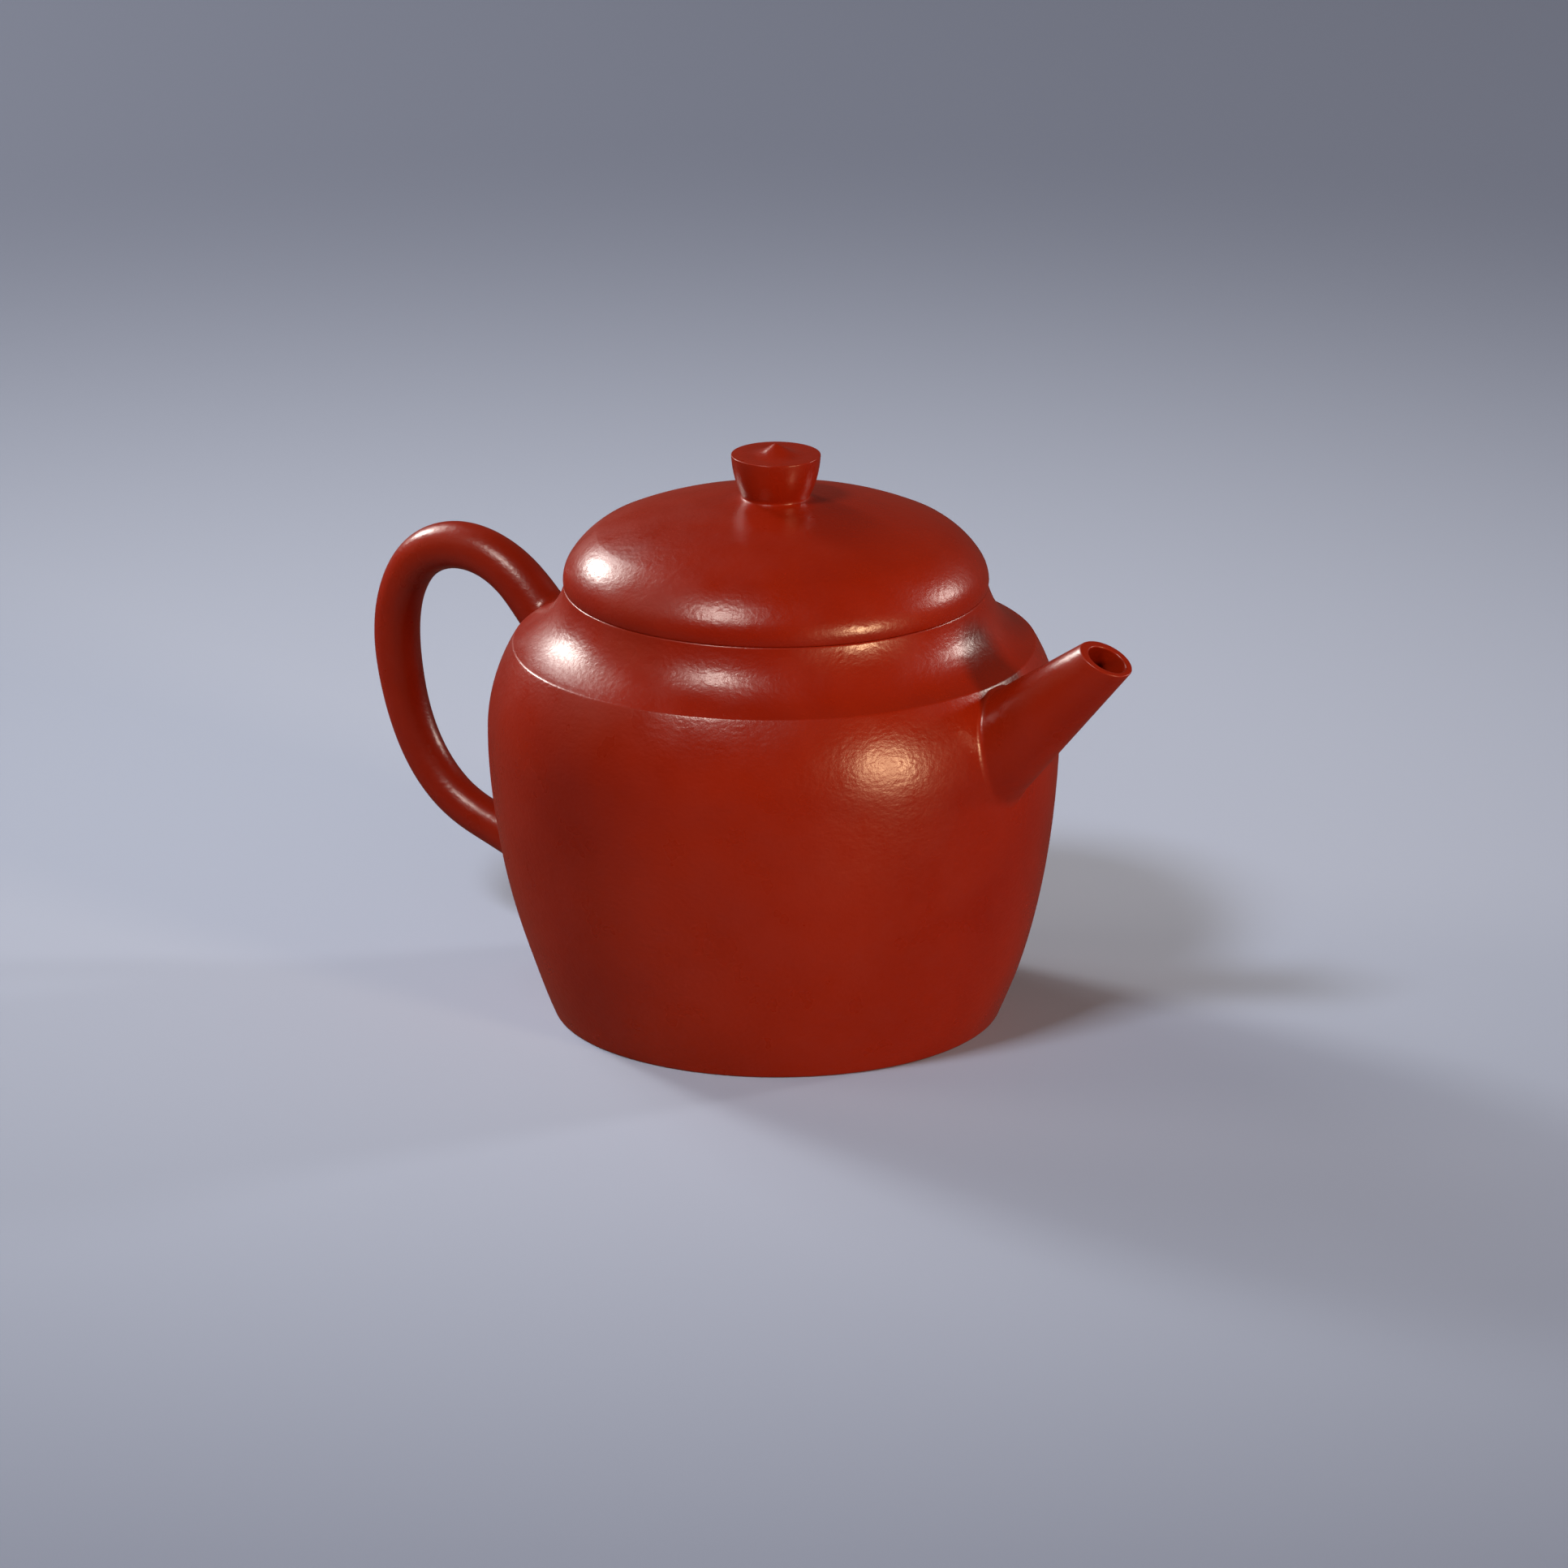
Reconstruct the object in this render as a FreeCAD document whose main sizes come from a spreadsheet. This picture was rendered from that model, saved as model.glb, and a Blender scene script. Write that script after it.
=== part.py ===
"""Straight-spouted clay teapot with a round lid: parametric document and STEP files.

Frame: +Z up, the table at z = 0, the pot's axis on Z, the spout towards +X and the handle
towards -X. Lengths are in millimetres. Every turned piece is a closed outline on the XZ
plane, revolved about Z.
"""
import FreeCAD, Part
import math
import os

import Sketcher

# Driving dimensions in millimetres, and angles in degrees.
SIZES = {
    # the pot's outer shape
    "wall": 2.8,
    "slab": 3.0,
    "foot_round": 0.3,
    "belly_radius": 42.9,
    "belly_height": 44.5,
    "lower_arc": 112.5,
    "shoulder_radius": 39.3,
    "shoulder_height": 57.55,
    "shoulder_arc": 11.6,
    "neck_radius": 32.5,
    "neck_height": 64.0,
    "seat_radius": 31.75,
    "seat_height": 66.3,
    "mouth_radius": 26.0,
    "mouth_depth": 4.6,
    # the straight spout
    "spout_x": 38.3,
    "spout_z": 46.75,
    "spout_rise": 41.4,
    "spout_length": 27.6,
    "spout_root_radius": 7.75,
    "spout_lip_radius": 3.92,
    "lip_rise": 63.3,
    "bore_radius": 2.8,
    "bore_length": 12.0,
    "spout_hollow_radius": 4.4,
    # the passage into the spout and the ball strainer over it
    "passage_z": 50.0,
    "passage_radius": 5.0,
    "ball_radius": 6.8,
    "ball_wall": 1.3,
    "ball_skirt": 1.5,
    "strainer_hole": 0.75,
    "slip_gap": 0.02,
    # the lid
    "lid_gap": 0.3,
    "lid_wall": 2.6,
    "flange_wall": 2.4,
    "flange_depth": 6.4,
    "plate": 2.0,
    "lid_radius": 31.9,
    "lid_edge_height": 67.3,
    "lid_edge_arc": 5.6,
    "lid_side_radius": 31.05,
    "lid_side_height": 70.1,
    "lid_side_arc": 13.4,
    "crown_radius": 24.0,
    "crown_arc": 72.4,
    "lid_top": 79.85,
    "vent_x": -5.4,
    "vent_y": 7.8,
    "vent_radius": 1.0,
    # the knob
    "knob_foot_radius": 8.0,
    "knob_foot_edge": 0.15,
    "foot_arc": 6.0,
    "knob_neck_radius": 5.05,
    "knob_neck_height": 80.24,
    "knob_side_arc": 7.3,
    "knob_rim_radius": 6.7,
    "knob_rim_height": 86.6,
    "knob_dish_radius": 4.4,
    "knob_dish_arc": 14.0,
    "knob_peak": 1.75,
}

# Round sections of the handle, from the upper root to the lower one: x, z and radius.
HANDLE = [
    (-37.0, 49.0, 4.00),
    (-42.5, 54.0, 3.95),
    (-47.5, 58.9, 3.80),
    (-53.6, 62.0, 3.65),
    (-60.0, 62.3, 3.60),
    (-66.0, 59.4, 3.55),
    (-69.6, 53.8, 3.52),
    (-70.8, 46.5, 3.52),
    (-70.1, 39.9, 3.45),
    (-67.9, 32.3, 3.30),
    (-64.0, 25.7, 3.20),
    (-58.7, 21.2, 3.18),
    (-51.5, 18.3, 3.20),
    (-44.0, 15.6, 3.25),
    (-36.0, 12.6, 3.30),
]

# The strainer's holes: their lean from its axis in degrees, and how many in the ring.
STRAINER_RINGS = [(0, 1), (33, 6), (64, 12)]

doc = FreeCAD.newDocument("Teapot")
sheet = doc.addObject("Spreadsheet::Sheet", "dims")


def fill_sheet():
    """Write every driving number to a cell of its own, with its name as the alias."""
    cells = dict(SIZES)
    for number, (x, z, radius) in enumerate(HANDLE):
        cells[f"handle_x_{number}"] = x
        cells[f"handle_z_{number}"] = z
        cells[f"handle_radius_{number}"] = radius
    for row, (alias, value) in enumerate(cells.items(), start=1):
        sheet.set(f"A{row}", alias)
        sheet.set(f"B{row}", str(value))
        sheet.setAlias(f"B{row}", alias)
    doc.recompute()


def read(expression):
    """Evaluate an expression on the sheet and return a plain number."""
    value = sheet.evalExpression(expression)
    return float(getattr(value, "Value", value))


def cell(name):
    return f"dims.{name}"


def on_lower_arc(height, inset="0"):
    """Radius of the wall below the belly, at a height, inset by a thickness."""
    arc = f"(dims.lower_arc - {inset})"
    rise = f"(dims.belly_height - {height})"
    return f"dims.belly_radius - dims.lower_arc + sqrt({arc}^2 - {rise}^2)"


# Radius of the wall between the belly and the shoulder line.
UPPER_ARC = ("(((dims.shoulder_height - dims.belly_height)^2"
             " + (dims.belly_radius - dims.shoulder_radius)^2)"
             " / (2 * (dims.belly_radius - dims.shoulder_radius)))")


def on_upper_arc(height, inset="0"):
    """Radius of the wall above the belly, at a height, inset by a thickness."""
    arc = f"({UPPER_ARC} - {inset})"
    rise = f"({height} - dims.belly_height)"
    return f"dims.belly_radius - {UPPER_ARC} + sqrt({arc}^2 - {rise}^2)"


def on_crown(radius, inset="0"):
    """Height of the lid's crown at a radius, inset by a thickness."""
    return (f"dims.lid_top - dims.crown_arc"
            f" + sqrt((dims.crown_arc - {inset})^2 - ({radius})^2)")


def new_body(name):
    body = doc.addObject("PartDesign::Body", name)
    body.Label = name
    return body


def plane(body, role):
    return next(item for item in body.Origin.OriginFeatures if item.Role == role)


def new_sketch(body, name, role="XZ_Plane", shift=None, axis=None, angle=None):
    """Sketch on an origin plane of its body. shift holds expressions for its place along
    the plane's own x, y and normal, and angle is its turn about an axis of that plane."""
    sketch = body.newObject("Sketcher::SketchObject", name)
    sketch.AttachmentSupport = (plane(body, role), "")
    sketch.MapMode = "FlatFace"
    if axis is not None:
        sketch.AttachmentOffset = FreeCAD.Placement(
            FreeCAD.Vector(), FreeCAD.Rotation(FreeCAD.Vector(*axis), read(angle)))
        sketch.setExpression(".AttachmentOffset.Rotation.Angle", angle)
    if shift is not None:
        for letter, expression in zip("xyz", shift):
            sketch.setExpression(f".AttachmentOffset.Base.{letter}", expression)
    return sketch


def fix(sketch, kind, places, expression):
    """Add one constraint whose value comes from the sheet."""
    index = sketch.addConstraint(Sketcher.Constraint(kind, *places, read(expression)))
    sketch.setExpression(f"Constraints[{index}]", expression)


def fix_point(sketch, geometry, end, across, up):
    """Hold one end of an edge at a distance from the sketch's two axes."""
    for kind, expression in (("DistanceX", across), ("DistanceY", up)):
        if abs(read(expression)) < 1e-9:
            axis = "PointOnObject"
            line = -2 if kind == "DistanceX" else -1
            sketch.addConstraint(Sketcher.Constraint(axis, geometry, end, line))
        else:
            fix(sketch, kind, (-1, 1, geometry, end), expression)


def arc_through(start, finish, radius, side):
    """Short arc between two points; side +1 has its centre on the left of the way there."""
    chord = finish - start
    half = chord.Length / 2
    left = FreeCAD.Vector(-chord.y, chord.x, 0).normalize()
    centre = (start + finish) / 2 + left * side * math.sqrt(radius ** 2 - half ** 2)
    middle = centre - left * side * radius
    return Part.Arc(start, middle, finish) if side > 0 else Part.Arc(finish, middle, start)


def draw_outline(sketch, corners):
    """Draw a closed outline. A corner is (across, up) or (across, up, radius, side), where
    radius and side give the arc from this corner to the next one."""
    points = [FreeCAD.Vector(read(corner[0]), read(corner[1]), 0) for corner in corners]
    ends = []
    for number, corner in enumerate(corners):
        start = points[number]
        finish = points[(number + 1) % len(points)]
        if len(corner) == 2:
            edge = sketch.addGeometry(Part.LineSegment(start, finish), False)
            ends.append((edge, 1, 2))
            continue
        radius, side = corner[2:]
        edge = sketch.addGeometry(arc_through(start, finish, read(radius), side), False)
        ends.append((edge, 1, 2) if side > 0 else (edge, 2, 1))
    for number, (edge, first, last) in enumerate(ends):
        following, its_first, _ = ends[(number + 1) % len(ends)]
        sketch.addConstraint(Sketcher.Constraint("Coincident", edge, last,
                                                 following, its_first))
    for corner, (edge, first, last) in zip(corners, ends):
        fix_point(sketch, edge, first, corner[0], corner[1])
        if len(corner) == 4:
            fix(sketch, "Radius", (edge,), corner[2])


def draw_circle(sketch, across, up, radius):
    centre = FreeCAD.Vector(read(across), read(up), 0)
    circle = Part.Circle(centre, FreeCAD.Vector(0, 0, 1), read(radius))
    edge = sketch.addGeometry(circle, False)
    fix_point(sketch, edge, 3, across, up)
    fix(sketch, "Radius", (edge,), radius)


def turn(body, corners, kind="PartDesign::Revolution", name="turned", **place):
    """Revolve an outline, or groove it out, about the sketch's upright axis."""
    sketch = new_sketch(body, f"{body.Label}_{name}_outline", **place)
    draw_outline(sketch, corners)
    doc.recompute()
    feature = body.newObject(kind, f"{body.Label}_{name}")
    feature.Profile = sketch
    feature.ReferenceAxis = (sketch, ["V_Axis"])
    feature.Angle = 360
    doc.recompute()
    return feature


def must_shrink(body, make):
    """Run one cutting step and refuse it when it has removed nothing."""
    before = body.Shape.Volume
    feature = make()
    body.Tip = feature
    doc.recompute()
    if body.Shape.Volume > before - 0.01:
        raise RuntimeError(f"{feature.Name} cut nothing")
    return feature


def drill(body, sketch, name, length, backwards=False, both_ways=False):
    """Cut a sketch's outline out of the body, to a length given by an expression."""

    def cut():
        feature = body.newObject("PartDesign::Pocket", name)
        feature.Profile = sketch
        feature.setExpression("Length", length)
        feature.Reversed = backwards
        feature.Midplane = both_ways
        doc.recompute()
        return feature

    return must_shrink(body, cut)


POT_SURFACE = [
    (on_lower_arc("dims.slab"), cell("slab"), cell("lower_arc"), 1),
    (cell("belly_radius"), cell("belly_height"), UPPER_ARC, 1),
    (cell("shoulder_radius"), cell("shoulder_height"), cell("shoulder_arc"), -1),
    (cell("neck_radius"), cell("neck_height"), cell("shoulder_arc"), -1),
    (cell("seat_radius"), cell("seat_height")),
    ("0", cell("seat_height")),
    ("0", cell("slab")),
]


def trim_to_pot(body):
    """Cut a root back to the pot's outer surface, so that it sits on it like a saddle."""
    must_shrink(body, lambda: turn(body, POT_SURFACE, "PartDesign::Groove", "saddle"))


def base_disc():
    """Flat round slab that the wall stands on, with a softened bottom edge."""
    turn(new_body("base_disc"), [
        ("0", "0"),
        (f"{on_lower_arc('0')} - dims.foot_round", "0", cell("foot_round"), 1),
        (on_lower_arc("dims.foot_round"), cell("foot_round"), cell("lower_arc"), 1),
        (on_lower_arc("dims.slab"), cell("slab")),
        ("0", cell("slab")),
    ])


def body_wall():
    """Bulging side wall with the round passage to the spout."""
    body = new_body("body_wall")
    lower = "dims.lower_arc - dims.wall"
    upper = f"{UPPER_ARC} - dims.wall"
    turn(body, [
        (on_lower_arc("dims.slab", "dims.wall"), cell("slab")),
        (on_lower_arc("dims.slab"), cell("slab"), cell("lower_arc"), 1),
        (cell("belly_radius"), cell("belly_height"), UPPER_ARC, 1),
        (cell("shoulder_radius"), cell("shoulder_height")),
        (on_upper_arc("dims.shoulder_height", "dims.wall"), cell("shoulder_height"),
         upper, -1),
        ("dims.belly_radius - dims.wall", cell("belly_height"), lower, -1),
    ])
    sketch = new_sketch(body, "passage_circle", "YZ_Plane")
    draw_circle(sketch, "0", cell("passage_z"), cell("passage_radius"))
    doc.recompute()
    drill(body, sketch, "passage", "dims.belly_radius + dims.wall", backwards=True)


def shoulder_disc():
    """Dished ring that closes the wall and rises to the neck."""
    lip = "(dims.seat_height - dims.mouth_depth)"
    turn(new_body("shoulder_disc"), [
        (on_upper_arc("dims.shoulder_height", "dims.wall"), cell("shoulder_height")),
        (cell("shoulder_radius"), cell("shoulder_height"), cell("shoulder_arc"), -1),
        (cell("neck_radius"), cell("neck_height")),
        (cell("mouth_radius"), cell("neck_height")),
        (cell("mouth_radius"), lip, "dims.shoulder_arc + dims.wall", 1),
    ])


def mouth_ring():
    """Ring round the mouth, whose flat top is the lid's seat."""
    turn(new_body("mouth_ring"), [
        (cell("mouth_radius"), cell("neck_height")),
        (cell("neck_radius"), cell("neck_height"), cell("shoulder_arc"), -1),
        (cell("seat_radius"), cell("seat_height")),
        (cell("mouth_radius"), cell("seat_height")),
    ])


def leaning(x, z, rise):
    """Place of a sketch on the XZ plane whose upright axis leans towards +X."""
    return {"shift": (x, z, "0"), "axis": (0, 0, -1), "angle": f"90 - {rise}"}


def spout():
    """Straight tapered spout, hollow, with its lip cut nearly level."""
    body = new_body("spout")
    along = leaning("dims.spout_x", "dims.spout_z", "dims.spout_rise")
    taper = "((dims.spout_root_radius - dims.spout_lip_radius) / dims.spout_length)"
    before = "-1 * dims.spout_root_radius"
    beyond = "dims.spout_length + dims.spout_lip_radius"
    turn(body, [
        ("0", before),
        (f"dims.spout_root_radius * (1 + {taper})", before),
        (f"dims.spout_lip_radius * (1 - {taper})", beyond),
        ("0", beyond),
    ], name="cone", **along)
    trim_to_pot(body)
    must_shrink(body, lambda: turn(body, [
        ("0", before),
        (cell("spout_hollow_radius"), before),
        (cell("spout_hollow_radius"), "0"),
        (cell("bore_radius"), "dims.spout_length - dims.bore_length"),
        (cell("bore_radius"), beyond),
        ("0", beyond),
    ], "PartDesign::Groove", "bore", **along))
    lip_x = "dims.spout_x + dims.spout_length * cos(dims.spout_rise)"
    lip_z = "dims.spout_z + dims.spout_length * sin(dims.spout_rise)"
    sketch = new_sketch(body, "lip_block", **leaning(lip_x, lip_z, "dims.lip_rise"))
    draw_outline(sketch, [
        ("-3 * dims.spout_lip_radius", "0"),
        ("3 * dims.spout_lip_radius", "0"),
        ("3 * dims.spout_lip_radius", "3 * dims.spout_lip_radius"),
        ("-3 * dims.spout_lip_radius", "3 * dims.spout_lip_radius"),
    ])
    doc.recompute()
    drill(body, sketch, "lip_cut", "6 * dims.spout_lip_radius", both_ways=True)


def ball_strainer():
    """Pierced half ball inside the wall, over the passage to the spout."""
    body = new_body("ball_strainer")
    centre_x = f"{on_upper_arc('dims.passage_z', 'dims.wall')} - dims.ball_skirt / 2"
    inner = "dims.ball_radius - dims.ball_wall"
    turn(body, [
        (inner, "0"),
        (inner, "-1 * dims.ball_skirt"),
        (cell("ball_radius"), "-1 * dims.ball_skirt"),
        (cell("ball_radius"), "0", cell("ball_radius"), 1),
        ("0", cell("ball_radius")),
        ("0", inner, inner, -1),
    ], name="dome", shift=(centre_x, "dims.passage_z", "0"), axis=(0, 0, 1), angle="90")

    # The skirt is cut back to a hair short of the wall, for the slip that holds it.
    low = "(dims.passage_z - 2 * dims.ball_radius)"
    high = "dims.shoulder_height"
    outside = "2 * dims.belly_radius"
    inset = "(dims.wall + dims.slip_gap)"
    must_shrink(body, lambda: turn(body, [
        (on_lower_arc(low, inset), low, f"dims.lower_arc - {inset}", 1),
        (f"dims.belly_radius - {inset}", cell("belly_height"),
         f"{UPPER_ARC} - ({inset})", 1),
        (on_upper_arc(high, inset), high),
        (outside, high),
        (outside, low),
    ], "PartDesign::Groove", "seat"))

    axis = new_sketch(body, "ball_axis", "YZ_Plane", ("0", "dims.passage_z", "0"))
    for number, (lean, count) in enumerate(STRAINER_RINGS):
        # Each hole leaves the ball's centre, leaning from the ball's axis, which is -X.
        sketch = new_sketch(body, f"hole_circle_{number}", "YZ_Plane",
                            ("0", "dims.passage_z", centre_x), (1, 0, 0), str(180 - lean))
        draw_circle(sketch, "0", "0", cell("strainer_hole"))
        doc.recompute()
        hole = drill(body, sketch, f"hole_{number}", "2 * dims.ball_radius",
                     backwards=True)
        if count > 1:
            must_shrink(body, lambda: ring_of(body, hole, axis, count))


def ring_of(body, feature, axis, count):
    """Repeat a feature round a sketch's normal axis."""
    pattern = body.newObject("PartDesign::PolarPattern", f"{feature.Name}_ring")
    pattern.Originals = [feature]
    pattern.Axis = (axis, ["N_Axis"])
    pattern.Angle = 360
    pattern.Occurrences = count
    return pattern


def handle():
    """Round ear-shaped loop, thickest at its upper root."""
    body = new_body("handle")
    last = len(HANDLE) - 1
    sections = []
    for number in range(len(HANDLE)):
        before, after = max(number - 1, 0), min(number + 1, last)
        run = f"dims.handle_x_{after} - dims.handle_x_{before}"
        rise = f"dims.handle_z_{after} - dims.handle_z_{before}"
        # The section's normal follows the handle, from its neighbours' places.
        place = ("0", f"dims.handle_z_{number}", f"dims.handle_x_{number}")
        sketch = new_sketch(body, f"handle_section_{number}", "YZ_Plane", place,
                            (-1, 0, 0), f"atan2({rise}; {run})")
        draw_circle(sketch, "0", "0", f"dims.handle_radius_{number}")
        sections.append(sketch)
    doc.recompute()
    loft = body.newObject("PartDesign::AdditiveLoft", "handle_loop")
    loft.Profile = sections[0]
    loft.Sections = sections[1:]
    doc.recompute()
    trim_to_pot(body)


def lid_seat_plate():
    """Flat ring that carries the dome and rests on the mouth ring."""
    top = "(dims.seat_height + dims.plate)"
    turn(new_body("lid_seat_plate"), [
        ("dims.mouth_radius - dims.lid_gap - dims.flange_wall", cell("seat_height")),
        (cell("seat_radius"), cell("seat_height")),
        (cell("lid_radius"), cell("lid_edge_height"), cell("lid_edge_arc"), 1),
        (lid_edge_radius(top), top),
        ("dims.mouth_radius - dims.lid_gap - dims.flange_wall", top),
    ])


def lid_edge_radius(height):
    """Radius of the lid's edge at a height just above its widest line."""
    return (f"dims.lid_radius - dims.lid_edge_arc"
            f" + sqrt(dims.lid_edge_arc^2 - ({height} - dims.lid_edge_height)^2)")


def lid_dome():
    """Bun-shaped shell with a small vent hole beside the knob."""
    body = new_body("lid_dome")
    foot = "(dims.seat_height + dims.plate)"
    inner_side = "dims.lid_side_radius - dims.lid_wall"
    turn(body, [
        (inner_side, foot),
        (lid_edge_radius(foot), foot, cell("lid_edge_arc"), 1),
        (cell("lid_side_radius"), cell("lid_side_height"), cell("lid_side_arc"), 1),
        (cell("crown_radius"), on_crown("dims.crown_radius"), cell("crown_arc"), 1),
        ("0", cell("lid_top")),
        ("0", "dims.lid_top - dims.lid_wall", "dims.crown_arc - dims.lid_wall", -1),
        ("dims.crown_radius - 1", on_crown("dims.crown_radius - 1", "dims.lid_wall"),
         "dims.lid_side_arc - dims.lid_wall", -1),
    ])
    sketch = new_sketch(body, "vent_circle", "XY_Plane")
    draw_circle(sketch, cell("vent_x"), cell("vent_y"), cell("vent_radius"))
    doc.recompute()
    drill(body, sketch, "vent", cell("lid_top"), backwards=True)


def lid_flange():
    """Ring under the lid that reaches down inside the mouth."""
    outer = "dims.mouth_radius - dims.lid_gap"
    inner = f"{outer} - dims.flange_wall"
    turn(new_body("lid_flange"), [
        (inner, "dims.seat_height - dims.flange_depth"),
        (outer, "dims.seat_height - dims.flange_depth"),
        (outer, cell("seat_height")),
        (inner, cell("seat_height")),
    ])


def knob():
    """Flared solid knob with a crisp rim and a low peak on its dished top."""
    foot = on_crown("dims.knob_foot_radius")
    turn(new_body("knob"), [
        (cell("knob_foot_radius"), foot),
        (cell("knob_foot_radius"), f"{foot} + dims.knob_foot_edge", cell("foot_arc"), -1),
        (cell("knob_neck_radius"), cell("knob_neck_height"), cell("knob_side_arc"), 1),
        (cell("knob_rim_radius"), cell("knob_rim_height")),
        (cell("knob_dish_radius"), cell("knob_rim_height"), cell("knob_dish_arc"), -1),
        ("0", "dims.knob_rim_height + dims.knob_peak"),
        ("0", cell("lid_top"), cell("crown_arc"), -1),
    ])


def check_and_export():
    """Refuse a failed object, then write one STEP file for each piece."""
    bad = [item.Name for item in doc.Objects
           if "Invalid" in item.State or "Error" in item.State]
    if bad:
        raise RuntimeError(f"failed objects: {bad}")
    os.makedirs("parts", exist_ok=True)
    for body in doc.findObjects("PartDesign::Body"):
        shape = body.Shape
        if shape.isNull() or not shape.isValid() or len(shape.Solids) != 1:
            raise RuntimeError(f"{body.Label} is not one valid solid")
        print(f"{body.Label}: {shape.Volume:.1f} mm3")
        shape.exportStep(f"parts/{body.Label}.step")


fill_sheet()
for make_piece in (base_disc, body_wall, shoulder_disc, mouth_ring, spout, ball_strainer,
                   handle, lid_flange, lid_seat_plate, lid_dome, knob):
    make_piece()
doc.recompute()
check_and_export()
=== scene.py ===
import math
import random

import bmesh
import bpy
import numpy as np
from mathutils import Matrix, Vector


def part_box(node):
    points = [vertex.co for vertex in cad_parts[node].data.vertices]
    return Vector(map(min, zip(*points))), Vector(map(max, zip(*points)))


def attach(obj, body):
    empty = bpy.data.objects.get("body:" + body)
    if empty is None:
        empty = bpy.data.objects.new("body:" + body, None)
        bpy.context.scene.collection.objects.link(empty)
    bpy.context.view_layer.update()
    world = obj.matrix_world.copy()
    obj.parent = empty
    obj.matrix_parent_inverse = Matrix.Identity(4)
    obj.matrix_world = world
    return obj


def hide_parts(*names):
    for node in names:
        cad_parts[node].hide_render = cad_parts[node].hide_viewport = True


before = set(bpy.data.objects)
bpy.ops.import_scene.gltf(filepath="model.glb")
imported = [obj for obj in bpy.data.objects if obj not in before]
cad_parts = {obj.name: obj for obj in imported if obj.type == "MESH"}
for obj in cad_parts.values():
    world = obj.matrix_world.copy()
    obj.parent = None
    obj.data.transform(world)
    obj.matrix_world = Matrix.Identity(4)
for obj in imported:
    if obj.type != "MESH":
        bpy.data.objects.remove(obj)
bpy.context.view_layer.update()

# Lengths are millimetres until a mesh is made, and Blender's own are metres.
MM = 0.001


def reach(node):
    """Largest radius of a turned CAD piece."""
    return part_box(node)[1].x / MM


def top(node):
    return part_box(node)[1].z / MM


def foot(node):
    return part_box(node)[0].z / MM


# The pot's shape: what the frame shows comes from the frame, and the rest is named here.
BELLY_RADIUS = reach("body_wall")
SHOULDER_RADIUS = reach("shoulder_disc")
SHOULDER_HEIGHT = top("body_wall")
NECK_RADIUS = reach("mouth_ring")
NECK_HEIGHT = top("shoulder_disc")
SEAT_HEIGHT = top("mouth_ring")
SLAB = top("base_disc")
BELLY_HEIGHT = 44.5
LOWER_ARC = 112.5
SHOULDER_ARC = 11.6
SEAT_RADIUS = 31.75
MOUTH_RADIUS = 26.0
MOUTH_DEPTH = 4.6
WALL = 2.8
UPPER_ARC = (((SHOULDER_HEIGHT - BELLY_HEIGHT) ** 2 + (BELLY_RADIUS - SHOULDER_RADIUS) ** 2)
             / (2 * (BELLY_RADIUS - SHOULDER_RADIUS)))

# The passage through the wall and the spout in front of it.
PASSAGE_HEIGHT = 50.0
PASSAGE_RADIUS = 5.0
SPOUT_BASE = np.array([38.3, 0.0, 46.75])
SPOUT_RISE = math.radians(41.4)
SPOUT_LENGTH = 27.6
SPOUT_ROOT_RADIUS = 7.75
SPOUT_LIP_RADIUS = 3.92
LIP_RISE = math.radians(63.3)
BORE_RADIUS = 2.8
BORE_LENGTH = 12.0
HOLLOW_RADIUS = 4.4

# The handle's centre line and radius, from the upper root to the lower one: x, z, radius.
# Both ends reach well inside the wall, so that every side line of the roll meets it.
HANDLE = [
    (-37.0, 49.0, 4.00),
    (-42.5, 54.0, 3.95),
    (-47.5, 58.9, 3.80),
    (-53.6, 62.0, 3.65),
    (-60.0, 62.3, 3.60),
    (-66.0, 59.4, 3.55),
    (-69.6, 53.8, 3.52),
    (-70.8, 46.5, 3.52),
    (-70.1, 39.9, 3.45),
    (-67.9, 32.3, 3.30),
    (-64.0, 25.7, 3.20),
    (-58.7, 21.2, 3.18),
    (-51.5, 18.3, 3.20),
    (-44.0, 15.6, 3.25),
    (-36.0, 12.6, 3.30),
    (-30.0, 10.2, 3.30),
]

# The lid and its knob.
LID_RADIUS = reach("lid_seat_plate")
PLATE_TOP = top("lid_seat_plate")
LID_TOP = top("lid_dome")
LID_WALL = 2.6
LID_EDGE_HEIGHT = 67.3
LID_EDGE_ARC = 5.6
LID_SIDE_RADIUS = 31.05
LID_SIDE_HEIGHT = 70.1
LID_SIDE_ARC = 13.4
CROWN_RADIUS = 24.0
CROWN_ARC = 72.4
TONGUE_OUTER = reach("lid_flange")
TONGUE_FOOT = foot("lid_flange")
TONGUE_WALL = 2.4
VENT = (-5.4, 7.8)
VENT_RADIUS = 1.0
RIM_RADIUS = 6.7
PEAK_HEIGHT = top("knob")
PEAK = 1.75
RIM_HEIGHT = PEAK_HEIGHT - PEAK
CONE_RADIUS = 3.05
KNOB_SIDE_ARC = 16.0
KNOB_NECK_RADIUS = 5.05
KNOB_NECK_HEIGHT = 80.15
FLARE_RADIUS = 12.0


# ---------------------------------------------------------------- outlines

# Spacing of an outline's points on arcs and on straights, and the points of a soft corner.
ARC_STEP = 0.55
FLAT_STEP = 2.5
CORNER_POINTS = 5

# A soft corner takes at most this share of each line that meets in it.
CORNER_SHARE = 0.45

# Points closer than this are one point, and lengths below TINY count as none.
SAME_POINT = 0.01
TINY = 1e-6


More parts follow.
